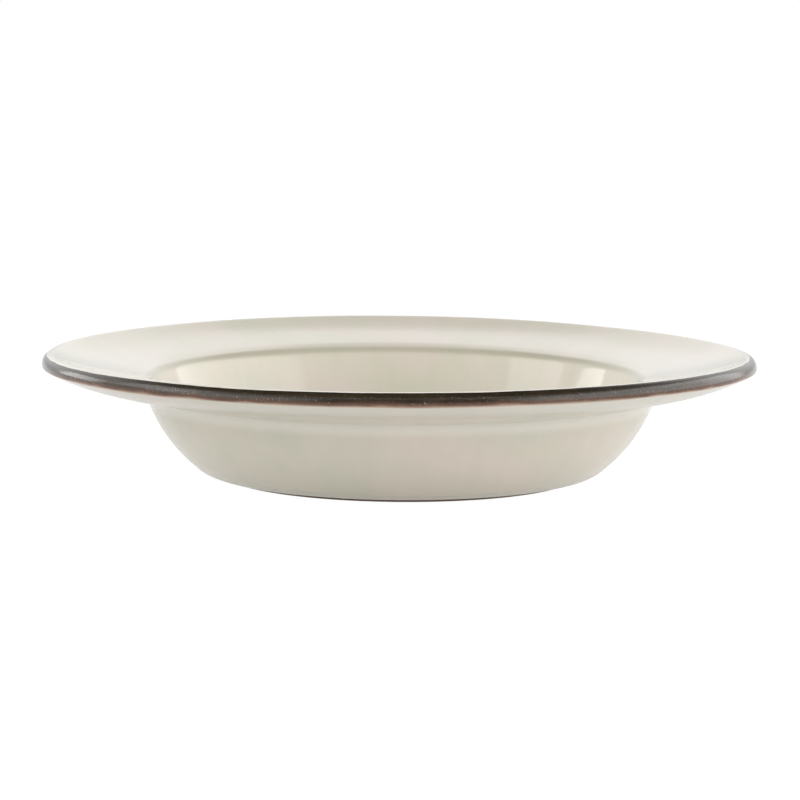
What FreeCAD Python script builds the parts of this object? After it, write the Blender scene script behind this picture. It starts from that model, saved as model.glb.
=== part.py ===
"""A rimmed soup plate in glazed stoneware: a clay body, its coats of glaze and a dark band on its lip.

Everything is turned about the Z axis. The plate stands on its foot ring at z = 0, and r is the
distance from the axis. Lengths are in millimetres and angles in degrees.
"""
import FreeCAD, Part
import math
import os

# Over the whole plate, glaze included
rim_diameter = 240.0
plate_height = 42.3           # standing face to the crest of the lip

# Lip: a thick rounded edge, proud of the rim
lip_height = 4.2              # crest down to the corner under the lip
lip_width = 14.5              # outer face to where the lip's inner side meets the rim
lip_fall = 19.0               # slope of the lip's inner side
lip_crest_round = 3.2
lip_under_round = 1.2
lip_blend_round = 78.0        # hollow between lip and rim

# Rim: a flange that rises gently from the well to the lip
well_diameter = 165.0         # at the corner where the rim turns down into the well
rim_drop = 8.44               # crest of the lip down to that corner
shoulder_round = 4.5          # rounds that corner
brow_reach = 5.0              # from that corner out to the brow, where the rim steepens
brow_slope = 17.0             # slope from the brow down to the corner
brow_round = 30.0
rim_root = 5.76               # depth of the rim over the corner where it leaves the wall
neck_round = 6.0              # hollow under the rim, beside the wall
belly_inset = 8.0             # outer face to the fullest part of the rim's underside
belly_drop = 1.85             # swell of the underside there, below a straight line
belly_round = 120.0

# Wall of the well
wall_slope = 67.5             # from level
wall_thickness = 5.65
bend_height = 13.4            # where the outer wall starts to turn under
bend_round = 51.0
well_round = 20.0             # inside, between wall and floor

# Base
foot_diameter = 120.0
foot_width = 5.0
foot_height = 1.0             # bare clay, below the glaze line
foot_edge_round = 0.5
heel_reach = 6.7              # foot ring to the turn of the heel
heel_slope = 4.0
heel_round = 11.0
recess_depth = 2.4            # hollow inside the foot ring
recess_round = 1.0
floor_thickness = 4.8

# Coats
glaze_thickness = 0.4
band_top_angle = 70.0         # how far round the crest the band climbs from the outer face
band_foot_angle = 30.0        # how far round the lower corner it runs from the outer face

rim_radius = rim_diameter / 2
foot_radius = foot_diameter / 2
FULL_TURN = 360.0
FILLET_SHARE = 0.98           # of a straight run, the most that its two roundings take


def tan(angle):
    return math.tan(math.radians(angle))


def cos(angle):
    return math.cos(math.radians(angle))


def sin(angle):
    return math.sin(math.radians(angle))


def point(r, z):
    return FreeCAD.Vector(r, 0, z)


def ray(angle):
    """The unit step in a direction, counted from outwards towards up."""
    return point(cos(angle), sin(angle))


class Straight:
    """A straight stretch of the skin. The clay is on its left."""

    def __init__(self, start, end):
        self.start, self.run = start, end - start
        self.angle = math.degrees(math.atan2(self.run.z, self.run.x))

    def at(self, share, depth):
        """The point a share of the way along, and a depth below the skin."""
        return self.start + self.run * share + ray(self.angle + 90) * depth

    def edge(self, depth):
        return Part.LineSegment(self.at(0, depth), self.at(1, depth)).toShape()


class Bend:
    """A round stretch of the skin, from one angle about its centre to another."""

    def __init__(self, centre, radius, start, end):
        self.centre, self.radius, self.start, self.end = centre, radius, start, end

    def at(self, share, depth):
        angle = self.start + (self.end - self.start) * share
        swell = -depth if self.end > self.start else depth
        return self.centre + ray(angle) * (self.radius + swell)

    def edge(self, depth):
        return Part.Arc(*(self.at(share, depth) for share in (0, 0.5, 1))).toShape()

    def before(self, angle):
        return Bend(self.centre, self.radius, self.start, angle)

    def after(self, angle):
        return Bend(self.centre, self.radius, angle, self.end)


def skin_through(corners):
    """The stretches of skin through (r, z, rounding) corners: straight, bend, straight and so on.

    A rounding is limited by the straight runs beside it.
    """
    places = [point(r, z) for r, z, _ in corners]
    steps = [b - a for a, b in zip(places, places[1:])]
    angles = [math.degrees(math.atan2(step.z, step.x)) for step in steps]
    turns = [(b - a + 180) % FULL_TURN - 180 for a, b in zip(angles, angles[1:])]
    wanted = [0] + [c[2] * tan(abs(turn) / 2) for c, turn in zip(corners[1:], turns)] + [0]
    fits = [min(1, FILLET_SHARE * step.Length / (a + b)) if a + b else 1
            for step, a, b in zip(steps, wanted, wanted[1:])]
    stretches = []
    start = places[0]
    for i, turn in enumerate(turns):
        cut = wanted[i + 1] * min(fits[i], fits[i + 1])
        radius = cut / tan(abs(turn) / 2)
        side = 90 if turn > 0 else -90
        tangent = places[i + 1] - ray(angles[i]) * cut
        stretches.append(Straight(start, tangent))
        centre = tangent + ray(angles[i] + side) * radius
        stretches.append(Bend(centre, radius, angles[i] - side, angles[i] - side + turn))
        start = places[i + 1] + ray(angles[i + 1]) * cut
    return stretches + [Straight(start, places[-1])]


def outer_skin():
    """The skin from the glaze line on the foot, up the outside, over the lip and down to the well's
    floor on the axis, as corner names and stretches."""
    shoulder_r = well_diameter / 2
    shoulder_z = plate_height - rim_drop
    neck_r = shoulder_r - rim_root / tan(wall_slope) + wall_thickness / sin(wall_slope)
    neck_z = shoulder_z - rim_root
    under_z = plate_height - lip_height
    belly_r = rim_radius - belly_inset
    belly_chord = (under_z - neck_z) / (rim_radius - neck_r)
    crest_z = (plate_height - lip_crest_round
               + lip_crest_round * (1 / cos(lip_fall) + tan(lip_fall)))
    floor_z = recess_depth + floor_thickness
    corners = {
        "foot": (foot_radius, foot_height, 0),
        "heel": (foot_radius + heel_reach, foot_height + heel_reach * tan(heel_slope), heel_round),
        "bend": (neck_r - (neck_z - bend_height) / tan(wall_slope), bend_height, bend_round),
        "neck": (neck_r, neck_z, neck_round),
        "belly": (belly_r, neck_z + belly_chord * (belly_r - neck_r) - belly_drop, belly_round),
        "lip_under": (rim_radius, under_z, lip_under_round),
        "lip_crest": (rim_radius, crest_z, lip_crest_round),
        "lip_inside": (rim_radius - lip_width, crest_z - lip_width * tan(lip_fall), lip_blend_round),
        "brow": (shoulder_r + brow_reach, shoulder_z + brow_reach * tan(brow_slope), brow_round),
        "shoulder": (shoulder_r, shoulder_z, shoulder_round),
        "well": (shoulder_r - (shoulder_z - floor_z) / tan(wall_slope), floor_z, well_round),
        "centre": (0, floor_z, 0),
    }
    return list(corners), skin_through(list(corners.values()))


def recess_skin():
    """The skin inside the foot ring, from the axis out to the glaze line on the ring's inner side."""
    inner_r = foot_radius - foot_width
    return skin_through([
        (0, recess_depth, 0),
        (inner_r, recess_depth, recess_round),
        (inner_r, foot_height, 0),
    ])


def turned(edges, angle=FULL_TURN):
    """The solid that a closed outline of edges sweeps round the axis."""
    outline = Part.Wire(Part.__sortEdges__(edges))
    return Part.Face(outline).revolve(point(0, 0), point(0, 1), angle)


def line(start, end):
    return Part.LineSegment(start, end).toShape()


def coat(stretches):
    """One coat: all that lies between the skin and the glaze's thickness below it.

    It is turned as two equal halves and joined, which keeps so thin a ring even all round.
    """
    faces = [s.edge(depth) for depth in (0, glaze_thickness) for s in stretches]
    start, end = stretches[0], stretches[-1]
    start_cap = line(start.at(0, 0), start.at(0, glaze_thickness))
    end_cap = line(end.at(1, 0), end.at(1, glaze_thickness))
    near_half = turned(faces + [start_cap, end_cap], FULL_TURN / 2)
    far_half = near_half.copy()
    far_half.rotate(point(0, 0), point(0, 1), FULL_TURN / 2)
    return near_half.fuse(far_half).Solids[0]


def clay_body(skin, recess):
    """The clay under every coat, with the bare foot ring that the plate stands on."""
    foot = skin_through([
        (foot_radius - foot_width, foot_height, 0),
        (foot_radius - foot_width, 0, foot_edge_round),
        (foot_radius, 0, foot_edge_round),
        (foot_radius, foot_height, 0),
    ])
    glazed = [s.edge(glaze_thickness) for s in recess + skin]
    inner_cap = line(recess[-1].at(1, glaze_thickness), foot[0].at(0, 0))
    outer_cap = line(foot[-1].at(1, 0), skin[0].at(0, glaze_thickness))
    axis = line(skin[-1].at(1, glaze_thickness), recess[0].at(0, glaze_thickness))
    return turned(glazed + [s.edge(0) for s in foot] + [inner_cap, outer_cap, axis])


def plate():
    """Every piece by name. The band splits the outer skin at the lip's two rounded corners."""
    names, skin = outer_skin()
    under = 2 * names.index("lip_under") - 1
    crest = 2 * names.index("lip_crest") - 1
    recess = recess_skin()
    outside = skin[:under] + [skin[under].before(-band_foot_angle)]
    band = ([skin[under].after(-band_foot_angle)] + skin[under + 1:crest]
            + [skin[crest].before(band_top_angle)])
    inside = [skin[crest].after(band_top_angle)] + skin[crest + 1:]
    return {
        "clay_body": clay_body(skin, recess),
        "outside_glaze": coat(outside),
        "rim_band": coat(band),
        "inside_glaze": coat(inside),
        "base_glaze": coat(recess),
    }


os.makedirs("parts", exist_ok=True)
for name, piece in plate().items():
    piece.exportStep("parts/" + name + ".step")
    print(name, round(piece.Volume), "mm3,", len(piece.Solids), "solid, valid:", piece.isValid())
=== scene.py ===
# %% [markdown]
# # A rimmed soup plate in glazed stoneware
#
# The plate is one piece of fired clay. A cream glaze covers it inside and out, an iron-brown
# glaze was brushed round its thick lip, and only the foot ring that it stands on is bare.
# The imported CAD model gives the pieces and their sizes. This lesson makes each piece again
# with what the kiln and the hand leave behind, because a plate that is perfectly round and
# perfectly even looks like plastic.

# %% Load the CAD model as the frame
import math

import bpy
import numpy as np
from mathutils import Euler, Matrix, Vector


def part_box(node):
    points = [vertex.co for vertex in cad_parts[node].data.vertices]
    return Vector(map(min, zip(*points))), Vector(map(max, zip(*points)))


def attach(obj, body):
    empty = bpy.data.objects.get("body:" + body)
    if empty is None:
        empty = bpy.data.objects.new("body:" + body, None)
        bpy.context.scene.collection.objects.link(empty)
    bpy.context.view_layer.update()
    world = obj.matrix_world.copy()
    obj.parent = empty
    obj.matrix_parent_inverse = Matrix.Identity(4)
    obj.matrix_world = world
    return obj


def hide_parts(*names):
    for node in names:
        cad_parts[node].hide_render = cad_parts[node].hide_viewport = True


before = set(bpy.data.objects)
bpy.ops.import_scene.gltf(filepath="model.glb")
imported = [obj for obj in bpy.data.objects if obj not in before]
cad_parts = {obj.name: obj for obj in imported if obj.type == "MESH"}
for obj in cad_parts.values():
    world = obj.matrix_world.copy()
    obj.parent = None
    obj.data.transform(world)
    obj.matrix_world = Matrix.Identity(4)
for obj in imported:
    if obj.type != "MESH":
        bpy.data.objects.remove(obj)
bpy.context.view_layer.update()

# %% [markdown]
# ## The turned outline
#
# A potter turns a plate against a rib or a template, so its whole form is one outline swept
# round an axis. It could be drawn by hand as a curve, but an outline of a few corners, each
# rounded by its own radius, says what a potter would say: the lip is round, the rim is
# nearly straight, the wall is steep, the foot is low. Lengths here are in millimetres and
# angles in degrees.

# %% Sizes of the plate
MM = 0.001
rim_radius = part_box("rim_band")[1].x / MM
plate_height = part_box("inside_glaze")[1].z / MM

# The lip: a thick rounded edge, proud of the rim
lip_height = 4.2
lip_width = 14.5
lip_fall = 19.0
lip_crest_round = 3.2
lip_under_round = 1.2
lip_blend_round = 78.0

# The rim, from the corner where it turns down into the well out to the lip
well_radius = 82.5
rim_drop = 8.44
shoulder_round = 4.5
brow_reach = 5.0
brow_slope = 17.0
brow_round = 30.0
rim_root = 5.76
neck_round = 6.0
belly_inset = 8.0
belly_drop = 1.85
belly_round = 120.0

# The wall of the well
wall_slope = 67.5
wall_thickness = 5.65
bend_height = 13.4
bend_round = 51.0
well_round = 20.0

# The foot ring and the floor
foot_radius = 60.0
foot_width = 5.0
foot_height = 1.0
foot_edge_round = 0.5
heel_reach = 6.7
heel_slope = 4.0
heel_round = 11.0
recess_depth = 2.4
recess_round = 1.0
floor_thickness = 4.8

# The coats. The band runs from one angle to the other about the lip's two rounded corners
glaze_thickness = 0.4
band_top_angle = 70.0
band_foot_angle = -30.0
print("Radius", round(rim_radius, 2), "and height", round(plate_height, 2), "mm")


# %% The corners of the skin, from the foot up the outside, over the lip and down to the axis
def slope(angle):
    """Rise per step outwards of a line at an angle in degrees."""
    return math.tan(math.radians(angle))


def skin_corners():
    """Corners as (r, z, rounding), by name, worked out from the sizes above."""
    shoulder_z = plate_height - rim_drop
    floor_z = recess_depth + floor_thickness
    neck_r = (well_radius - rim_root / slope(wall_slope)
              + wall_thickness / math.sin(math.radians(wall_slope)))
    neck_z = shoulder_z - rim_root
    under_z = plate_height - lip_height
    belly_r = rim_radius - belly_inset
    belly_chord = (under_z - neck_z) / (rim_radius - neck_r)
    crest_z = (plate_height - lip_crest_round
               + lip_crest_round * (1 / math.cos(math.radians(lip_fall)) + slope(lip_fall)))
    return {
        "foot": (foot_radius, foot_height, 0),
        "heel": (foot_radius + heel_reach, foot_height + heel_reach * slope(heel_slope),
                 heel_round),
        "bend": (neck_r - (neck_z - bend_height) / slope(wall_slope), bend_height, bend_round),
        "neck": (neck_r, neck_z, neck_round),
        "belly": (belly_r, neck_z + belly_chord * (belly_r - neck_r) - belly_drop, belly_round),
        "lip_under": (rim_radius, under_z, lip_under_round),
        "lip_crest": (rim_radius, crest_z, lip_crest_round),
        "lip_inside": (rim_radius - lip_width, crest_z - lip_width * slope(lip_fall),
                       lip_blend_round),
        "brow": (well_radius + brow_reach, shoulder_z + brow_reach * slope(brow_slope), brow_round),
        "shoulder": (well_radius, shoulder_z, shoulder_round),
        "well": (well_radius - (shoulder_z - floor_z) / slope(wall_slope), floor_z, well_round),
        "centre": (0, floor_z, 0),
    }


plate_outline = skin_corners()
print("The outline has", len(plate_outline), "corners:", ", ".join(plate_outline))

# %% [markdown]
# ## From corners to a smooth line
#
# An arc of radius R that turns a line by an angle T touches both sides at R * tan(T / 2) from
# the corner. That is worked out for all corners at once, and then a loop draws the arcs.
# The result is a table against the distance s along the line: radius, height and direction.
# Any point of the surface, and any depth below it, can then be read by interpolation.

# %% Round the corners
ARC_STEP = math.radians(0.5)
FILLET_SHARE = 0.98             # of a straight run, the most that its two roundings take
TINY = 1e-9


def rounded(corners):
    """A table of s, r, z and direction along the line through rounded corners.

    Each rounding is limited by the straight runs beside it. Direction is an angle in radians
    from outwards towards up, and it grows where the line turns left.
    """
    corner = np.array(list(corners.values()), float)
    step = np.diff(corner[:, :2], axis=0)
    length = np.hypot(step[:, 0], step[:, 1])
    heading = np.unwrap(np.arctan2(step[:, 1], step[:, 0]))
    turn = np.diff(heading)
    half_tan = np.tan(np.abs(turn) / 2)
    wanted = np.concatenate([[0], corner[1:-1, 2] * half_tan, [0]])
    fit = np.minimum(1, FILLET_SHARE * length / np.maximum(wanted[:-1] + wanted[1:], TINY))
    cut = wanted[1:-1] * np.minimum(fit[:-1], fit[1:])
    radius = cut / half_tan
    line_r, line_z, line_heading = [corner[0, 0]], [corner[0, 1]], [heading[0]]
    arcs = {}
    for i, name in enumerate(list(corners)[1:-1]):
        along = np.array([math.cos(heading[i]), math.sin(heading[i])])
        left = np.array([-along[1], along[0]]) * np.sign(turn[i])
        centre = corner[i + 1, :2] - along * cut[i] + left * radius[i]
        bend = heading[i] + np.linspace(0, turn[i], int(abs(turn[i]) / ARC_STEP) + 2)
        arcs[name] = (len(line_r), len(line_r) + len(bend) - 1)
        line_r.extend(centre[0] + np.sign(turn[i]) * radius[i] * np.sin(bend))
        line_z.extend(centre[1] - np.sign(turn[i]) * radius[i] * np.cos(bend))
        line_heading.extend(bend)
    line_r.append(corner[-1, 0])
    line_z.append(corner[-1, 1])
    line_heading.append(heading[-1])
    s = np.concatenate([[0], np.cumsum(np.hypot(np.diff(line_r), np.diff(line_z)))])
    return {"s": s, "r": np.array(line_r), "z": np.array(line_z),
            "heading": np.array(line_heading), "arcs": arcs}


def facing(line, name, normal_angle):
    """The distance s at which the arc of a named corner faces an angle from outwards.

    The line's direction there is a quarter turn more than that angle.
    """
    first, last = line["arcs"][name]
    part = slice(first, last + 1)
    return np.interp(math.radians(normal_angle + 90), line["heading"][part], line["s"][part])


skin = rounded(plate_outline)
inner_foot = foot_radius - foot_width
recess = rounded({
    "axis": (0, recess_depth, 0),
    "corner": (inner_foot, recess_depth, recess_round),
    "foot": (inner_foot, foot_height, 0),
})
foot = rounded({
    "inner_line": (inner_foot, foot_height, 0),
    "inner_edge": (inner_foot, 0, foot_edge_round),
    "outer_edge": (foot_radius, 0, foot_edge_round),
    "outer_line": (foot_radius, foot_height, 0),
})
band_foot_s = facing(skin, "lip_under", band_foot_angle)
band_top_s = facing(skin, "lip_crest", band_top_angle)
shoulder_s = np.mean(skin["s"][list(skin["arcs"]["shoulder"])])
neck_s = np.mean(skin["s"][list(skin["arcs"]["neck"])])
print("The skin is", round(skin["s"][-1], 1), "mm long; the band is",
      round(band_top_s - band_foot_s, 2), "mm of it, from", round(band_foot_s, 1))

# %% [markdown]
# ## What the hand and the kiln leave
#
# Soft clay moves when it is lifted off the wheel and again in the fire. The rim of this plate
# has become a shallow twisted saddle with a third wave over it, each a fraction of a
# millimetre high. The bowl was trimmed about an axis a little to one side of the rim's, and
# the well lies a little to the other. The surface also keeps faint turning rings and slow
# swells, which are far too low to see as shape, and yet they are what makes a reflection
# waver. The warp and the swells are sums of waves that are whole round the axis, so that they
# close. Along s a swell can be of any length.

# %% Sums of waves that close round the axis
TURN = 2 * math.pi
swell_count = 28
swell_shortest, swell_longest = 22.0, 70.0
swell_radius = 95.0
random = np.random.default_rng(7)


def smooth(x):
    """0 below 0, 1 above 1, and an even S curve between: x * x * (3 - 2 x)."""
    x = np.clip(x, 0, 1)
    return x * x * (3 - 2 * x)


def make_waves(count, shortest, longest, radius):
    """Random waves as rows of (waves round the axis, waves per mm along s, phase, weight).

    A longer wave gets more weight, so the sum looks like slow swells with less and less on top.
    """
    length = shortest * (longest / shortest) ** random.random(count)
    tilt = random.random(count) * TURN
    around = np.round(TURN * radius / length * np.cos(tilt))
    along = np.sin(tilt) / length
    weight = length / np.sqrt(np.sum(length ** 2) / 2)
    return np.stack([around, along, random.random(count) * TURN, weight], axis=1)


def waves_at(waves, theta, s):
    """The sum of weight * cos(around * theta + 2 pi * along * s + phase), one array in, one out."""
    total = np.zeros(np.broadcast(theta, s).shape)
    for around, along, phase, weight in waves:
        total += weight * np.cos(around * theta + TURN * along * s + phase)
    return total


swells = make_waves(swell_count, swell_shortest, swell_longest, swell_radius)
print(len(swells), "swells, from", swell_shortest, "to", swell_longest, "mm long")

# %% How far the rim has warped, and how uneven the skin is
saddle_rise, twist_rise, third_rise = 0.36, 0.26, 0.25
warp_from, warp_growth = 0.5 * rim_radius, 1.3
swell_height = 0.022
ring_height, ring_spacing = 0.003, 3.4
ring_drift, ring_drift_length = 1.5, 11.0
calm_radius, calm_share = 40.0, 0.3


def warp(r, theta):
    """How far the rim has risen: a saddle, a twist and a third wave, growing towards the edge."""
    share = np.clip((r - warp_from) / (rim_radius - warp_from), 0, 1) ** warp_growth
    return -share * (saddle_rise * np.cos(2 * theta) + twist_rise * np.sin(2 * theta)
                     + third_rise * np.sin(3 * theta))


def unevenness(r, theta, s):
    """How far the skin stands out: swells and turning rings, both calm towards the axis."""
    rings = ring_height * np.sin(TURN * s / ring_spacing
                                 + ring_drift * np.sin(s / ring_drift_length))
    calm = smooth(r / calm_radius - calm_share)
    return calm * (swell_height * waves_at(swells, theta, s) + rings)


all_round = np.linspace(0, TURN, 361)
print("The rim's edge lies between", round(warp(rim_radius, all_round).min(), 2), "and",
      round(warp(rim_radius, all_round).max(), 2), "mm from level")

# %% The skin where it really lies: uneven, warped and a little off centre
calm_foot = 12.0
bowl_shift, bowl_top, rim_bottom = 0.45, 29.0, 37.0
well_shift, well_shift_from = -1.2, 104.0


def surface(line, s, theta, depth, lively=1.0):
    """Points in metres at distance s along a line, turned to theta, at a depth below the skin.

    The point is (r cos theta, r sin theta, z) after a step of -depth along the normal, which
    is the line's direction turned a quarter to the right. Then the bowl moves sideways by its
    shift, in full below the bowl's top and not at all above the rim's bottom. The upper face
    moves by the well's shift, in full inside the well and not at all beyond where it starts.
    """
    r = np.interp(s, line["s"], line["r"])
    z = np.interp(s, line["s"], line["z"])
    heading = np.interp(s, line["s"], line["heading"])
    calm = smooth(s / calm_foot) if line is skin else 0
    out = lively * calm * unevenness(r, theta, s) - depth
    swept_r = r + out * np.sin(heading)
    swept_z = z - out * np.cos(heading) + lively * warp(r, theta)
    swept_r = np.broadcast_to(swept_r, np.broadcast(s, theta).shape)
    bowl_share = np.clip((rim_bottom - swept_z) / (rim_bottom - bowl_top), 0, 1)
    well_share = smooth((well_shift_from - swept_r) / (well_shift_from - well_radius))
    upper = (line is skin) * (s > skin["s"][skin["arcs"]["lip_crest"][0]])
    sideways = np.where(upper, well_shift * well_share, bowl_shift * bowl_share)
    return MM * np.stack([swept_r * np.cos(theta) + sideways, swept_r * np.sin(theta), swept_z],
                         axis=-1)


print("The top of the band on the right, in metres:",
      [round(float(x), 4) for x in surface(skin, band_top_s, 0.0, 0.0)])

# %% [markdown]
# ## Grids and meshes
#
# Each piece is a grid of points, with rows across the outline and columns round the axis. A
# coat of glaze is a thin ring: its outline goes out along the skin and comes back under it, so
# both directions of the grid close on themselves. A piece that reaches the axis ends in a
# single point instead. Rows lie closer together where the outline bends more.

# %% Rows and columns
COLUMNS = 480
ROW_SAMPLES = 6000
theta = np.linspace(0, TURN, COLUMNS, endpoint=False)[None, :]
fine = {"step": 1.1, "turn": math.radians(5)}
coarse = {"step": 3.0, "turn": math.radians(6)}
tight = {"step": 0.35, "turn": math.radians(6)}


def rows(line, start, end, step, turn):
    """Distances from start to end, at most a step apart and at most a turn of the line apart."""
    s = np.linspace(start, end, ROW_SAMPLES)
    heading = np.interp(s, line["s"], line["heading"])
    busy = np.maximum(np.abs(np.diff(s)) / step, np.abs(np.diff(heading)) / turn)
    count = np.concatenate([[0], np.cumsum(busy)])
    return np.interp(np.linspace(0, count[-1], int(count[-1]) + 2), count, s)[:, None]


print(COLUMNS, "columns, and", len(rows(skin, 0, skin["s"][-1], **fine)), "fine rows over the skin")

# %% A grid of points as a closed mesh
SHARP = math.radians(50)


def make_piece(name, grid, ring, layers):
    """A smooth closed mesh over a grid of points, with named layers of numbers on its vertices.

    A ring joins its last row to its first. Otherwise the first and last rows lie on the axis,
    where each becomes one vertex with a fan of triangles.
    """
    count, columns = grid.shape[:2]
    if ring:
        index = np.arange(count * columns).reshape(count, columns)
        index = np.vstack([index, index[:1]])
        order = np.arange(count * columns)
    else:
        inner = 1 + np.arange((count - 2) * columns).reshape(count - 2, columns)
        last = inner.size + 1
        index = np.vstack([np.zeros((1, columns), int), inner, np.full((1, columns), last)])
        order = np.concatenate([[0], columns + np.arange(inner.size), [count * columns - 1]])
    across = np.roll(index, -1, axis=1)
    corners = np.stack([index[:-1], across[:-1], across[1:], index[1:]], axis=-1)
    if ring:
        faces = corners.reshape(-1, 4).tolist()
    else:
        faces = (corners[0][:, [0, 2, 3]].tolist() + corners[1:-1].reshape(-1, 4).tolist()
                 + corners[-1][:, [0, 1, 2]].tolist())
    mesh = bpy.data.meshes.new(name)
    mesh.from_pydata(grid.reshape(-1, 3)[order].tolist(), [], faces)
    mesh.shade_smooth()
    mesh.set_sharp_from_angle(angle=SHARP)
    for layer, values in layers.items():
        kind, field = ("FLOAT_VECTOR", "vector") if values.ndim == 3 else ("FLOAT", "value")
        values = values.reshape(count * columns, -1)[order].ravel()
        mesh.attributes.new(layer, kind, "POINT").data.foreach_set(field, values)
    piece = bpy.data.objects.new(name, mesh)
    bpy.context.scene.collection.objects.link(piece)
    mesh.calc_loop_triangles()
    print(name, len(mesh.vertices), "vertices,", len(mesh.loop_triangles), "triangles,",
          round(enclosed(mesh) / MM ** 3), "mm3")
    return piece


def enclosed(mesh):
    """Volume inside a mesh: a sixth of the sum of a . (b x c). It is negative if inside out."""
    place = np.empty(len(mesh.vertices) * 3)
    mesh.vertices.foreach_get("co", place)
    corner = np.empty(len(mesh.loop_triangles) * 3, np.int32)
    mesh.loop_triangles.foreach_get("vertices", corner)
    a, b, c = place.reshape(-1, 3)[corner.reshape(-1, 3)].transpose(1, 0, 2)
    return np.sum(a * np.cross(b, c)) / 6


# %% [markdown]
# ## The edges of the brown band
#
# The band was brushed on by hand with the plate turning slowly, so neither of its edges is a
# true circle. The pieces meet along these two lines, so both neighbours read the same waves:
# the row of points next to the edge moves with it, and the rows further off move less.

# %% Where the band starts and ends, in mm
foot_waver, top_waver = 0.28, 0.22
foot_waves, top_waves = 60, 80
fewest_waves, wave_fall = 3, 0.7
brush_swing, swing_middle = 0.9, 0.35
edge_reach = 7.0


def wavering(height, most_waves):
    """A closed uneven line round the rim: whole waves, each lower as they get shorter.

    The sum of cos(waves * theta + phase) / waves ** wave_fall, scaled to a greatest height.
    """
    waves = np.arange(fewest_waves, most_waves)[:, None]
    phase = random.random(waves.shape) * TURN
    line = np.sum(np.cos(waves * theta + phase) / waves ** wave_fall, axis=0)
    return (height * line / np.abs(line).max())[None, :]


band_foot = band_foot_s + wavering(foot_waver, foot_waves)
band_top = (band_top_s + wavering(top_waver, top_waves)
            + brush_swing * (swing_middle - np.sin(theta / 2) ** 4))
print("The band is", round((band_top - band_foot).min(), 2), "to",
      round((band_top - band_foot).max(), 2), "mm wide along the skin")


def pulled(s, edge, nominal):
    """Rows of s that follow a wavering edge where they are near it."""
    return s + (edge - nominal) * smooth(1 - np.abs(s - nominal) / edge_reach)


# %% [markdown]
# ## The five pieces
#
# A piece is a list of stretches: a line, the distances along it and a depth below it. A piece
# always lies on the left of the way that its outline runs, so the faces point outwards. Each
# vertex also stores how near it is to two lines: the corner of the shoulder, where a darker
# colour stands partly for glaze running thin and partly for painted shade, and the hollow of
# the neck, where a lighter colour is painted light.

# %% Turn an outline into a piece
scratch_lean = 1.5
scratch_stretch = 0.3
# Widths in mm: over the shoulder the glaze is darker, partly thin glaze and partly painted shade;
# in the neck it is painted lighter.
thin_glaze_and_shade_from, thin_glaze_and_shade_to = 0.3, 2.4
painted_neck_light_from, painted_neck_light_to = 1.5, 5.0


def unrolled(s, lean, stretch):
    """A place for patterns, in mm: (R cos a, R sin a, stretch * s), where a = theta + lean * s / R.

    It closes on itself round the axis. A small stretch draws a pattern out along s, and a lean
    sets it askew.
    """
    angle = theta + lean * s / rim_radius
    return np.stack([rim_radius * np.cos(angle), rim_radius * np.sin(angle),
                     stretch * s + 0 * angle], axis=-1)


def turned(name, stretches, ring=True, lively=1.0):
    """The closed mesh that a list of stretches (line, s, depth) sweeps round the axis.

    Its layers tell the glazes where they are: how far below the band and past its top edge, in
    mm, and how near the shoulder, which is darkened for thin glaze and painted shade, and the
    neck, where light is painted, from 0 to 1.
    """
    grid = np.concatenate([surface(line, s, theta, depth, lively) for line, s, depth in stretches])
    s = np.concatenate([s + 0 * theta for line, s, depth in stretches])
    thin_glaze_and_shade = smooth((thin_glaze_and_shade_to - np.abs(s - shoulder_s)) / (thin_glaze_and_shade_to - thin_glaze_and_shade_from))
    painted_neck_light = smooth((painted_neck_light_to - np.abs(s - neck_s)) / (painted_neck_light_to - painted_neck_light_from))
    return make_piece(name, grid, ring, {
        "below_band": band_foot - s, "past_band": s - band_top, "thin_glaze_and_shade": lively * thin_glaze_and_shade,
        "painted_neck_light": lively * painted_neck_light, "unrolled": unrolled(s, 0, 1),
        "askew": unrolled(s, scratch_lean, scratch_stretch)})


# %% Rows of the four coats
def outside_rows(spacing):
    """From the foot to the band, the last rows following the band's lower edge."""
    return pulled(rows(skin, 0, band_foot_s, **spacing), band_foot, band_foot_s)


def band_rows(spacing):
    """From one edge of the band to the other, each row at the same share of the way all round."""
    share = rows(skin, band_foot_s, band_top_s, **spacing) - band_foot_s
    return band_foot + share / (band_top_s - band_foot_s) * (band_top - band_foot)


def inside_rows(spacing):
    """From the band to the axis, the first rows following the band's top edge."""
    return pulled(rows(skin, band_top_s, skin["s"][-1], **spacing), band_top, band_top_s)


def recess_rows(spacing):
    """From the axis to the glaze line inside the foot ring."""
    return rows(recess, 0, recess["s"][-1], **spacing)


print("Fine rows:", len(outside_rows(fine)), "outside,", len(inside_rows(fine)), "inside and",
      len(recess_rows(fine)), "in the recess; the band has", len(band_rows(tight)))


# %% Make them
outside_coat = turned("outside_coat", [(skin, outside_rows(fine), 0),
                                       (skin, outside_rows(coarse)[::-1], glaze_thickness)])
iron_band = turned("iron_band", [(skin, band_rows(tight), 0),
                                 (skin, band_rows(coarse)[::-1], glaze_thickness)])
inside_coat = turned("inside_coat", [(skin, inside_rows(coarse)[::-1], glaze_thickness),
                                     (skin, inside_rows(fine), 0)], ring=False)
base_coat = turned("base_coat", [(recess, recess_rows(fine), 0),
                                 (recess, recess_rows(coarse)[::-1], glaze_thickness)],
                   ring=False, lively=0)
fired_clay = turned("fired_clay", [(recess, recess_rows(coarse), glaze_thickness),
                                   (foot, rows(foot, 0, foot["s"][-1], **tight), 0),
                                   (skin, rows(skin, 0, skin["s"][-1], **coarse), glaze_thickness)],
                    ring=False)

# %% [markdown]
# ## Which CAD piece each one stands for
#
# The CAD pieces are true circles with one plain colour each. Each new piece takes the place of
# one of them, keeps its size, and rides on the plate's only body. The CAD solids stay behind
# for weight and collision, hidden from the camera.

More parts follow.
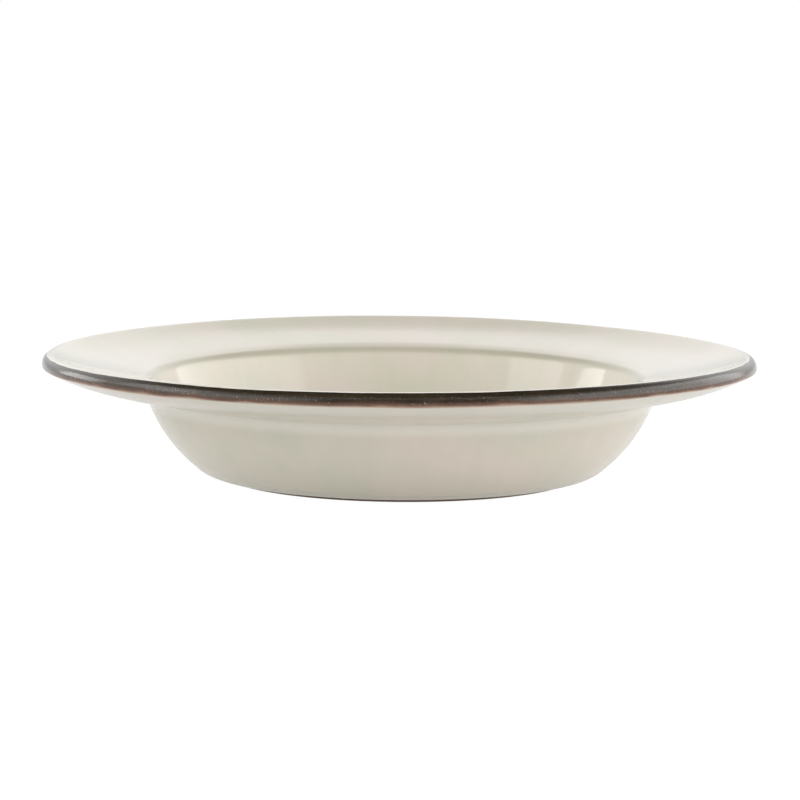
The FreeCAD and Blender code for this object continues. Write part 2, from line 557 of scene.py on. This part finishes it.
# %% Tie the pieces to the frame
for piece, node, slot in (
    (fired_clay, "clay_body", "bare_stoneware"),
    (inside_coat, "inside_glaze", "cream_glaze"),
    (outside_coat, "outside_glaze", "cream_glaze"),
    (base_coat, "base_glaze", "cream_glaze"),
    (iron_band, "rim_band", "iron_glaze"),
):
    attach(piece, "root")
    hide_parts(node)
    print(piece.name, "stands for", node)

# %% [markdown]
# ## Colours and nodes
#
# Each material is one shader, glossy for a glaze, which is a layer of glass, and matte for the
# clay. All that varies in it is worked out by nodes from a place. Two kinds of place are used.
# Object coordinates suit what has no direction, such as clouds in the glaze. The unrolled
# place, which make_piece stored on the vertices, suits what follows the wheel or runs down
# the wall. Colours are written as sRGB hex codes, as a colour picker shows them, and turned
# to the linear values that light adds up in.

# %% A colour, a node and a material
# The Mix node's sockets by number: its factor, what it mixes as numbers or colours, and the
# colour that comes out
FACTOR, NUMBER_A, NUMBER_B, COLOUR_A, COLOUR_B, MIXED = 0, 2, 3, 6, 7, 2
SILICATE_IOR = 1.5              # of glaze and of fired clay
NOISE_MIDDLE = 0.5


def colour(code):
    """The linear RGBA of an sRGB hex code."""
    srgb = [int(code[i:i + 2], 16) / 255 for i in (1, 3, 5)]
    return [c / 12.92 if c <= 0.04045 else ((c + 0.055) / 1.055) ** 2.4 for c in srgb] + [1]


def add(tree, kind, inputs=None, **settings):
    """Adds a node with its settings. An input is a number or colour, or a socket to link from."""
    node = tree.nodes.new(kind)
    for name, value in settings.items():
        setattr(node, name, value)
    for key, value in (inputs or {}).items():
        if isinstance(value, bpy.types.NodeSocket):
            tree.links.new(value, node.inputs[key])
        else:
            node.inputs[key].default_value = value
    return node


def new_material(name):
    """A new material and its node tree, emptied."""
    material = bpy.data.materials.new(name)
    material.use_nodes = True
    material.node_tree.nodes.clear()
    print("Material", name)
    return material, material.node_tree


print("A mid grey, #808080, is", round(colour("#808080")[0], 3), "in linear light")

# %% [markdown]
# ## Cream glaze
#
# Such a glaze is a milky white one, made opaque with tin or zircon and poured over buff
# clay. Where it lies thick it is ivory. Over the sharp shoulder of the well it is darker and
# greyer: partly the clay showing through thin glaze, partly painted shade on the corner. One
# flat colour would look like plastic, and a painted texture would need an image. So two close
# tints drift into each other in clouds a few centimetres wide, and faint marks lie over them:
# runs down the wall, and rings beside the band, as if the plate was turned against a finger.
# Next to the band a paler colour on top is a painted highlight on the lip's crest, and under
# the lip the glaze takes a brown stain from the iron. The hollow under the rim gets a lighter
# colour, which is painted light, and the inside's tints are lighter than the outside's, which
# paints light on the inside. The eye gets a deep, wet gloss over a colour that is never quite
# the same twice.

# %% Sizes of the marks, in metres for Object coordinates and in mm for the unrolled place
cloud_size, cloud_warping = 0.028, 0.5
cloud_low, cloud_high = 0.3, 0.7
run_width, run_stretch, run_share = 6.0, 0.15, 0.05
run_from, run_to = 0.03, 0.055
ring_width, ring_stretch, ring_share = 1.5, 0.05, 0.12
ring_from, ring_to = 2.0, 12.0
# Next to the band: the iron's stain below it, a painted highlight on the crest above it.
stain_and_highlight_full, stain_and_highlight_end = 0.3, 1.6
# Over the shoulder, a darker colour: partly thin glaze, partly painted shade on the corner.
thin_glaze_and_shade_colour, thin_glaze_and_shade_share = colour("#A3A188"), 0.5
# A lighter colour in the hollow under the rim: painted light.
painted_neck_light_colour, painted_neck_light_share = colour("#EAE6DC"), 0.6
peel_size, peel_height = 0.0022, 0.000012
print("Clouds are", cloud_size, "m wide, runs", run_width, "mm and rings", ring_width, "mm")


# %% The cream glaze
def cream_glaze(name, greenish, pinkish, gap_layer, stain_and_highlight_colour, stain_and_highlight_width, stain_and_highlight_share,
                roughness):
    """A milky glaze in clouds of two tints, with a colour next to the band over a width in mm:
    the iron's stain on the outside, a painted highlight on the crest inside.
    """
    material, tree = new_material(name)
    place = add(tree, "ShaderNodeTexCoord").outputs["Object"]
    unrolled_place = add(tree, "ShaderNodeAttribute", attribute_name="unrolled").outputs["Vector"]
    gap = add(tree, "ShaderNodeAttribute", attribute_name=gap_layer).outputs["Fac"]
    thin_glaze_and_shade = add(tree, "ShaderNodeAttribute", attribute_name="thin_glaze_and_shade").outputs["Fac"]
    painted_neck_light = add(tree, "ShaderNodeAttribute", attribute_name="painted_neck_light").outputs["Fac"]

    # The clouds: a noise with soft edges, cut at its tails so that both tints show in full.
    cloud = add(tree, "ShaderNodeTexNoise", {
        "Vector": place, "Scale": 1 / cloud_size, "Detail": 3,
        "Distortion": cloud_warping}).outputs["Fac"]
    cloud = add(tree, "ShaderNodeMapRange", {"Value": cloud, "From Min": cloud_low,
                                             "From Max": cloud_high})
    base = add(tree, "ShaderNodeMix", {FACTOR: cloud.outputs["Result"], COLOUR_A: greenish,
                                       COLOUR_B: pinkish}, data_type="RGBA").outputs[MIXED]

    # The marks: noises drawn out along the fall of the glaze, and round the wheel. Glaze does
    # not run on the level floor, where the runs would all meet in one point.
    down = add(tree, "ShaderNodeVectorMath", {0: unrolled_place, 1: (1, 1, run_stretch)},
               operation="MULTIPLY").outputs[0]
    runs = add(tree, "ShaderNodeTexNoise", {"Vector": down, "Scale": 1 / run_width,
                                            "Detail": 1}).outputs["Fac"]
    round_it = add(tree, "ShaderNodeVectorMath", {
        0: unrolled_place, 1: (ring_stretch, ring_stretch, 1)}, operation="MULTIPLY").outputs[0]
    rings = add(tree, "ShaderNodeTexNoise", {"Vector": round_it, "Scale": 1 / ring_width,
                                             "Detail": 2}).outputs["Fac"]
    by_the_band = add(tree, "ShaderNodeMapRange", {
        "Value": gap, "From Min": ring_from, "From Max": ring_to, "To Min": ring_share,
        "To Max": 0}).outputs["Result"]
    level = add(tree, "ShaderNodeVectorMath", {0: place, 1: (1, 1, 0)},
                operation="MULTIPLY").outputs[0]
    from_axis = add(tree, "ShaderNodeVectorMath", {0: level}, operation="LENGTH").outputs["Value"]
    off_the_floor = add(tree, "ShaderNodeMapRange", {
        "Value": from_axis, "From Min": run_from, "From Max": run_to,
        "To Max": run_share}).outputs["Result"]
    for pattern, share in ((runs, off_the_floor), (rings, by_the_band)):
        swing = add(tree, "ShaderNodeMath", {0: pattern, 1: NOISE_MIDDLE},
                    operation="SUBTRACT").outputs[0]
        swing = add(tree, "ShaderNodeMath", {0: swing, 1: share, 2: 1},
                    operation="MULTIPLY_ADD").outputs[0]
        base = add(tree, "ShaderNodeMix", {FACTOR: 1, COLOUR_A: base, COLOUR_B: swing},
                   data_type="RGBA", blend_type="MULTIPLY").outputs[MIXED]

    # Darker on the shoulder for thin glaze and painted shade, painted light in the hollow under
    # the rim, and next to the band the stain outside and a painted highlight inside.
    ragged = add(tree, "ShaderNodeMath", {0: rings, 1: stain_and_highlight_width, 2: gap},
                 operation="MULTIPLY_ADD").outputs[0]
    stain_and_highlight = add(tree, "ShaderNodeMapRange", {
        "Value": ragged, "From Min": stain_and_highlight_full * stain_and_highlight_width,
        "From Max": stain_and_highlight_end * stain_and_highlight_width, "To Min": stain_and_highlight_share, "To Max": 0},
        interpolation_type="SMOOTHSTEP").outputs["Result"]
    for layer, share, tone in ((thin_glaze_and_shade, thin_glaze_and_shade_share, thin_glaze_and_shade_colour),
                               (painted_neck_light, painted_neck_light_share, painted_neck_light_colour), (stain_and_highlight, 1, stain_and_highlight_colour)):
        amount = add(tree, "ShaderNodeMath", {0: layer, 1: share}, operation="MULTIPLY").outputs[0]
        base = add(tree, "ShaderNodeMix", {FACTOR: amount, COLOUR_A: base, COLOUR_B: tone},
                   data_type="RGBA").outputs[MIXED]

    peel = add(tree, "ShaderNodeTexNoise", {"Vector": place, "Scale": 1 / peel_size,
                                            "Detail": 1}).outputs["Fac"]
    bump = add(tree, "ShaderNodeBump", {"Height": peel, "Distance": peel_height})
    shader = add(tree, "ShaderNodeBsdfPrincipled", {"Base Color": base, "Roughness": roughness,
                                                    "IOR": SILICATE_IOR, "Normal": bump.outputs[0]})
    add(tree, "ShaderNodeOutputMaterial", {"Surface": shader.outputs["BSDF"]})
    return material


# %% The inside, in lighter tints that paint light on it, and the outside and the base
# The inside's tints are lighter than the outside's: painted light. Its colour next to the band is a
# painted highlight on the crest.
inside_cream_painted_lighter = cream_glaze(
    "ivory_glaze_inside_painted_lighter", greenish=colour("#D3D1BF"), pinkish=colour("#DDD2C6"),
    gap_layer="past_band", stain_and_highlight_colour=colour("#EFEBE0"), stain_and_highlight_width=1.2, stain_and_highlight_share=0.7,
    roughness=0.08)
outside_cream = cream_glaze(
    "ivory_glaze_outside", greenish=colour("#CBCABA"), pinkish=colour("#D7CDC1"),
    gap_layer="below_band", stain_and_highlight_colour=colour("#9A6F50"), stain_and_highlight_width=0.9, stain_and_highlight_share=0.75,
    roughness=0.18)


# %% [markdown]
# ## Iron glaze
#
# The band is an iron-bearing glaze brushed on over the lip. Iron gives brown-black where the
# coat is thick. Where it thins out, at its lower edge, the same iron turns rust and then
# amber. Small crystals leave tan flecks in it, and cutlery and stacking have left short fine
# scratches. A plain black line would have a hard edge, so the colour is led by the distance
# below the band's edge, made ragged by a noise that is drawn out the way the brush went. To
# the eye it is dark glass, with a warm fringe and a slightly pebbled shine.

# %% Brush, flecks and scratches in mm, and the height of the pebbles in metres
brush_mottle, brush_stretch = 2.4, 0.3
mottle_low, mottle_high = 0.35, 0.65
brush_ragged = 1.1
dark_brown, brown, top_brown = colour("#2A2217"), colour("#382D20"), colour("#2A2218")
top_from, top_to = -0.7, -0.2
rust = (-1.5, 0.1, 0.85, colour("#5E4132"))
amber = (-0.1, 0.7, 0.8, colour("#A98E78"))
fleck_size, fleck_least, fleck_share = 0.5, 0.68, 0.45
scratch_width, scratch_least, scratch_share = 0.45, 0.71, 0.3
fleck_edge, fleck_colour = 0.05, colour("#B9A894")
few_above, many_below, fewest_share = -3.4, -1.2, 0.15
pebble_size, pebble_height = 0.9, 0.00005
iron_roughness = 0.15
print("Flecks are", fleck_size, "mm wide, scratches", scratch_width, "and pebbles", pebble_size)


# %% The iron glaze
def iron_glaze():
    """A brown-black glaze, thin and amber at its lower edge, with tan flecks and fine scratches."""
    material, tree = new_material("iron_brown_glaze_brushed")
    place = add(tree, "ShaderNodeAttribute", attribute_name="unrolled").outputs["Vector"]
    askew = add(tree, "ShaderNodeAttribute", attribute_name="askew").outputs["Vector"]
    below_band = add(tree, "ShaderNodeAttribute", attribute_name="below_band").outputs["Fac"]
    past_band = add(tree, "ShaderNodeAttribute", attribute_name="past_band").outputs["Fac"]

    along = add(tree, "ShaderNodeVectorMath", {0: place, 1: (brush_stretch, brush_stretch, 1)},
                operation="MULTIPLY").outputs[0]
    mottle = add(tree, "ShaderNodeTexNoise", {"Vector": along, "Scale": 1 / brush_mottle,
                                              "Detail": 4}).outputs["Fac"]
    patch = add(tree, "ShaderNodeMapRange", {"Value": mottle, "From Min": mottle_low,
                                             "From Max": mottle_high})
    base = add(tree, "ShaderNodeMix", {FACTOR: patch.outputs["Result"], COLOUR_A: dark_brown,
                                       COLOUR_B: brown}, data_type="RGBA").outputs[MIXED]
    top = add(tree, "ShaderNodeMapRange", {"Value": past_band, "From Min": top_from,
                                           "From Max": top_to})
    base = add(tree, "ShaderNodeMix", {FACTOR: top.outputs["Result"], COLOUR_A: base,
                                       COLOUR_B: top_brown}, data_type="RGBA").outputs[MIXED]

    # The lower edge: how far below it a point is, pushed up and down by the mottle. Rust, then
    # amber, each comes in between its first two numbers, up to a share.
    ragged = add(tree, "ShaderNodeMath", {0: mottle, 1: brush_ragged, 2: below_band},
                 operation="MULTIPLY_ADD").outputs[0]
    for start, end, share, tone in (rust, amber):
        thin = add(tree, "ShaderNodeMapRange", {
            "Value": ragged, "From Min": start, "From Max": end, "To Max": share},
            interpolation_type="SMOOTHSTEP")
        base = add(tree, "ShaderNodeMix", {FACTOR: thin.outputs["Result"], COLOUR_A: base,
                                           COLOUR_B: tone}, data_type="RGBA").outputs[MIXED]

    # Flecks and scratches are the peaks of two fine noises, one of them askew and drawn out.
    # Real ones are a few hundredths of a millimetre wide: these are as coarse as shows here.
    # Most lie low on the band, where the coat is thinner.
    low = add(tree, "ShaderNodeMapRange", {
        "Value": ragged, "From Min": few_above, "From Max": many_below,
        "To Min": fewest_share}).outputs["Result"]
    for way, size, least, share in ((place, fleck_size, fleck_least, fleck_share),
                                    (askew, scratch_width, scratch_least, scratch_share)):
        fleck = add(tree, "ShaderNodeTexNoise", {"Vector": way, "Scale": 1 / size,
                                                 "Detail": 1}).outputs["Fac"]
        fleck = add(tree, "ShaderNodeMapRange", {"Value": fleck, "From Min": least,
                                                 "From Max": least + fleck_edge,
                                                 "To Max": share})
        fleck = add(tree, "ShaderNodeMath", {0: fleck.outputs["Result"], 1: low},
                    operation="MULTIPLY").outputs[0]
        base = add(tree, "ShaderNodeMix", {FACTOR: fleck, COLOUR_A: base,
                                           COLOUR_B: fleck_colour},
                   data_type="RGBA").outputs[MIXED]

    pebbles = add(tree, "ShaderNodeTexNoise", {"Vector": place, "Scale": 1 / pebble_size,
                                               "Detail": 2}).outputs["Fac"]
    bump = add(tree, "ShaderNodeBump", {"Height": pebbles, "Distance": pebble_height})
    shader = add(tree, "ShaderNodeBsdfPrincipled", {"Base Color": base, "Roughness": iron_roughness,
                                                    "IOR": SILICATE_IOR, "Normal": bump.outputs[0]})
    add(tree, "ShaderNodeOutputMaterial", {"Surface": shader.outputs["BSDF"]})
    return material


iron = iron_glaze()


# %% [markdown]
# ## Bare stoneware
#
# Only the foot ring shows it, because a glazed foot would stick to the kiln shelf. Fired
# stoneware is buff, matte and a little gritty, and the foot is darker brown in a thin line
# where it runs up to the glaze. A matte shader with a fine two-tone grain is enough, and the
# height above the table says where the darker line lies. To the eye it is a dry edge under
# the wet glaze.

# %% Grain in metres, and how far up the foot the darker brown starts and ends
grain_size, grain_height = 0.0008, 0.00003
grain_low, grain_high = 0.3, 0.7
grain_colour, buff = colour("#8F7A62"), colour("#AD977C")
foot_darkening_from, foot_darkening_to, foot_darkening_share = 0.0003, 0.001, 0.7
foot_top_colour = colour("#5C4A3D")
clay_roughness = 0.85


def bare_stoneware():
    """Matte buff clay with dark grains, darker brown where it runs up to the glaze."""
    material, tree = new_material("bare_fired_stoneware")
    place = add(tree, "ShaderNodeTexCoord").outputs["Object"]
    grain = add(tree, "ShaderNodeTexNoise", {"Vector": place, "Scale": 1 / grain_size,
                                             "Detail": 3}).outputs["Fac"]
    grain = add(tree, "ShaderNodeMapRange", {"Value": grain, "From Min": grain_low,
                                             "From Max": grain_high}).outputs["Result"]
    base = add(tree, "ShaderNodeMix", {FACTOR: grain, COLOUR_A: grain_colour, COLOUR_B: buff},
               data_type="RGBA").outputs[MIXED]
    height = add(tree, "ShaderNodeSeparateXYZ", {0: place}).outputs["Z"]
    foot_darkening = add(tree, "ShaderNodeMapRange", {"Value": height, "From Min": foot_darkening_from,
                                             "From Max": foot_darkening_to, "To Max": foot_darkening_share})
    base = add(tree, "ShaderNodeMix", {FACTOR: foot_darkening.outputs["Result"], COLOUR_A: base,
                                       COLOUR_B: foot_top_colour}, data_type="RGBA").outputs[MIXED]
    bump = add(tree, "ShaderNodeBump", {"Height": grain, "Distance": grain_height})
    shader = add(tree, "ShaderNodeBsdfPrincipled", {"Base Color": base, "Roughness": clay_roughness,
                                                    "IOR": SILICATE_IOR, "Normal": bump.outputs[0]})
    add(tree, "ShaderNodeOutputMaterial", {"Surface": shader.outputs["BSDF"]})
    return material


bare = bare_stoneware()

# %% Put the materials on
for piece, material in ((fired_clay, bare), (inside_coat, inside_cream_painted_lighter),
                        (outside_coat, outside_cream), (base_coat, outside_cream),
                        (iron_band, iron)):
    piece.data.materials.append(material)
    print(piece.name, "is finished in", material.name)

# %% [markdown]
# ## The camera
#
# The picture was taken from just above the rim, from about a metre away, with a long lens.
# The rim of a round plate is an ellipse in the picture, and how flat it is gives the camera's
# tilt. Its slight slant gives the roll, under half a degree. The distance was fitted together
# with the outline, as near things are drawn larger. The rotation is built from the tilt, then
# rolled about the line of sight, and the camera steps back along that line from its aim.

# %% Camera
camera_tilt = math.radians(7.2)
camera_roll = math.radians(0.417)
camera_distance = 0.96
aim = Vector((0.00029, 0, 0.02532))
SENSOR_WIDTH = 36.0
focal_length = 127.42

camera_data = bpy.data.cameras.new("camera")
camera_data.sensor_width = SENSOR_WIDTH
camera_data.lens = focal_length
camera = bpy.data.objects.new("camera", camera_data)
bpy.context.scene.collection.objects.link(camera)
level = Euler((math.pi / 2 - camera_tilt, 0, 0)).to_matrix()
camera.matrix_world = (Matrix.Translation(aim + level @ Vector((0, 0, camera_distance)))
                       @ (level @ Matrix.Rotation(camera_roll, 3, "Z")).to_4x4())
bpy.context.scene.camera = camera
print("The camera is at", [round(x, 3) for x in camera.matrix_world.translation])

# %% [markdown]
# ## The table
#
# The plate stands on a white sweep of paper, lit so strongly from below or behind that the
# picture shows it as pure white and almost without a shadow. Plain lit paper would come out
# grey beside a well exposed plate, so the table glows. It glows white to the camera and in
# mirror images, where the paper close to the plate is darker. To all other light it glows less:
# not at all under the plate, so that the foot gets its thin dark line, and less on the left,
# which leaves the left of the underside greyer. The rest of it is matte white paper, which
# still takes the plate's soft shadow.

# %% A white table, with lengths in metres
floor_glow = 0.85
glow_from, glow_to = 0.09, 0.19
shaded_side, lit_side = -0.15, 0.15
shaded_share = 0.3
seen_white = 0.93
shadow_white = 0.55
paper_white = 0.85
paper_glow = 1.06
floor_size = 40.0


def white_paper():
    """Matte white with a glow: full where it is seen, weaker where it only lights the plate."""
    material, tree = new_material("white_paper")
    path = add(tree, "ShaderNodeLightPath")
    mirrored = add(tree, "ShaderNodeMath", {0: path.outputs["Is Glossy Ray"],
                                            1: path.outputs["Is Transmission Ray"]},
                   operation="MAXIMUM").outputs[0]
    place = add(tree, "ShaderNodeTexCoord").outputs["Object"]
    distance = add(tree, "ShaderNodeVectorMath", {0: place}, operation="LENGTH").outputs["Value"]
    glowing = add(tree, "ShaderNodeMapRange", {
        "Value": distance, "From Min": glow_from, "From Max": glow_to,
        "To Max": floor_glow}, interpolation_type="SMOOTHSTEP").outputs["Result"]
    across = add(tree, "ShaderNodeSeparateXYZ", {0: place}).outputs["X"]
    side = add(tree, "ShaderNodeMapRange", {"Value": across, "From Min": shaded_side,
                                            "From Max": lit_side, "To Min": shaded_share})
    glowing = add(tree, "ShaderNodeMath", {0: glowing, 1: side.outputs["Result"]},
                  operation="MULTIPLY").outputs[0]
    mirror_white = add(tree, "ShaderNodeMapRange", {
        "Value": distance, "From Min": glow_from, "From Max": glow_to, "To Min": shadow_white,
        "To Max": seen_white}, interpolation_type="SMOOTHSTEP").outputs["Result"]
    share = add(tree, "ShaderNodeMix", {FACTOR: mirrored, NUMBER_A: glowing,
                                        NUMBER_B: mirror_white}, data_type="FLOAT").outputs[0]
    share = add(tree, "ShaderNodeMix", {FACTOR: path.outputs["Is Camera Ray"], NUMBER_A: share,
                                        NUMBER_B: seen_white}, data_type="FLOAT")
    paper = add(tree, "ShaderNodeBsdfDiffuse", {
        "Color": (paper_white, paper_white, paper_white, 1)})
    glow = add(tree, "ShaderNodeEmission", {"Color": (1, 1, 1, 1), "Strength": paper_glow})
    both = add(tree, "ShaderNodeMixShader", {0: share.outputs[0], 1: paper.outputs[0],
                                             2: glow.outputs[0]})
    add(tree, "ShaderNodeOutputMaterial", {"Surface": both.outputs[0]})
    return material


table_mesh = bpy.data.meshes.new("table")
half = floor_size / 2
table_mesh.from_pydata([(-half, -half, 0), (half, -half, 0), (half, half, 0), (-half, half, 0)], [],
                       [(0, 1, 2, 3)])
table_mesh.materials.append(white_paper())
table = bpy.data.objects.new("table", table_mesh)
bpy.context.scene.collection.objects.link(table)
print("The table is", floor_size, "m square and glows from", glow_from, "m outwards")

# %% [markdown]
# ## The room
#
# A gloss shows the room that it stands in, so the room is half of how glaze looks. Here it is a
# white one round the whole horizon, with a brighter wall behind the plate that lights the far
# rim and is duller low down, and a dim ceiling. The dim ceiling matters most: without it the
# lip and the brow of the rim would be as bright as the rim itself, and the plate would lose
# its shape. In mirror images the side behind the camera is dark too, which keeps the middle of
# the band dark. A picture of a room could do this as well, but a few soft-edged patches on the
# sky are easier to move. The camera itself sees plain white.
#
# A patch is a brightness and its limits. Each limit is a measure, where the patch starts and
# where it is full. The measures are parts of the direction looked in, which is 1 long: how far
# it points to either side, how far back and how far up. The ceiling's is how near it points to
# the ceiling's middle, and one of the front's is 1 in mirror images only.

# %% A white room
plain_white = 1.0
room_white = 1.0
horizon_white = 0.8
wall_white = 1.3
front_white = 0.25
ceiling_white = 0.08
ceiling_middle = 81.5
ceiling_reach = (28.0, 54.0)


def white_room():
    """The world: white to the camera, and patches of soft light to the plate.

    Each patch covers what came before it by the product of its limits' shares.
    """
    world = bpy.data.worlds.new("white_room")
    world.use_nodes = True
    tree = world.node_tree
    tree.nodes.clear()
    path = add(tree, "ShaderNodeLightPath")
    way = add(tree, "ShaderNodeTexCoord").outputs["Generated"]
    x, back, up = add(tree, "ShaderNodeSeparateXYZ", {0: way}).outputs
    aside = add(tree, "ShaderNodeMath", {0: x}, operation="ABSOLUTE").outputs[0]
    middle = math.radians(ceiling_middle)
    overhead = add(tree, "ShaderNodeVectorMath", {
        0: way, 1: (0, math.cos(middle), math.sin(middle))},
        operation="DOT_PRODUCT").outputs["Value"]
    near, far = (math.cos(math.radians(reach)) for reach in ceiling_reach)
    mirrored = path.outputs["Is Glossy Ray"]
    light = room_white
    for white, limits in (
        (wall_white, ((aside, 0.95, 0.7), (back, 0.0, 0.3), (up, 0.8, 0.5))),
        (horizon_white, ((back, 0.0, 0.3), (up, 0.26, 0.0))),
        (front_white, ((mirrored, 0.0, 1.0), (back, -0.5, -0.85))),
        (ceiling_white, ((overhead, far, near),)),
    ):
        share = 1.0
        for measure, start, full in limits:
            inside = add(tree, "ShaderNodeMapRange", {
                "Value": measure, "From Min": start, "From Max": full},
                interpolation_type="SMOOTHSTEP").outputs["Result"]
            share = add(tree, "ShaderNodeMath", {0: inside, 1: share},
                        operation="MULTIPLY").outputs[0]
        light = add(tree, "ShaderNodeMix", {FACTOR: share, NUMBER_A: light, NUMBER_B: white},
                    data_type="FLOAT").outputs[0]
    strength = add(tree, "ShaderNodeMix", {FACTOR: path.outputs["Is Camera Ray"], NUMBER_A: light,
                                           NUMBER_B: plain_white}, data_type="FLOAT").outputs[0]
    room = add(tree, "ShaderNodeBackground", {"Color": (1, 1, 1, 1), "Strength": strength})
    add(tree, "ShaderNodeOutputWorld", {"Surface": room.outputs[0]})
    bpy.context.scene.world = world
    print("The room's patches:", room_white, wall_white, horizon_white, front_white, ceiling_white)


white_room()

# %% [markdown]
# ## The lamps
#
# Tableware is lit with large soft lamps, because a glaze shows a small lamp as a hard spot.
# The wide one on the right is the main light: it greys the band along its right half and
# fills the well's left wall with a soft patch. A smaller panel and a lamp on the left do the
# same for the other side, and a weak one in front keeps the outer wall from going dull. Each
# is a flat rectangle that faces the plate. Lamps are set by the brightness that the eye would
# see on them, so the mirror image of a lamp that grows or comes closer gets no brighter.

# %% Lamps: angles in degrees, lengths in metres, and brightness beside the room's white of 1
lamp_distance = 1.2


def softbox(name, azimuth, elevation, width, height, brightness):
    """A rectangular lamp that faces the plate. Azimuth is counted from the right towards the back.

    A lamp of area A and brightness L shines pi * A * L watts.
    """
    lamp = bpy.data.lights.new(name, "AREA")
    lamp.shape = "RECTANGLE"
    lamp.size = width
    lamp.size_y = height
    lamp.energy = math.pi * width * height * brightness
    box = bpy.data.objects.new(name, lamp)
    a, e = math.radians(azimuth), math.radians(elevation)
    way = Vector((math.cos(a) * math.cos(e), math.sin(a) * math.cos(e), math.sin(e)))
    box.matrix_world = (Matrix.Translation(way * lamp_distance)
                        @ way.to_track_quat("Z", "Y").to_matrix().to_4x4())
    box.visible_camera = False
    bpy.context.scene.collection.objects.link(box)
    print(name, "shines", round(lamp.energy, 1), "W")


softbox("right_softbox", azimuth=-3, elevation=18, width=2.9, height=1.0, brightness=1.5)
softbox("front_softbox", azimuth=-143, elevation=19, width=1.2, height=0.6, brightness=1.1)
softbox("left_panel", azimuth=185, elevation=30, width=0.6, height=0.6, brightness=1.6)
softbox("left_lamp", azimuth=151, elevation=14, width=0.5, height=0.4, brightness=2.6)
bpy.context.scene.view_settings.view_transform = "Standard"
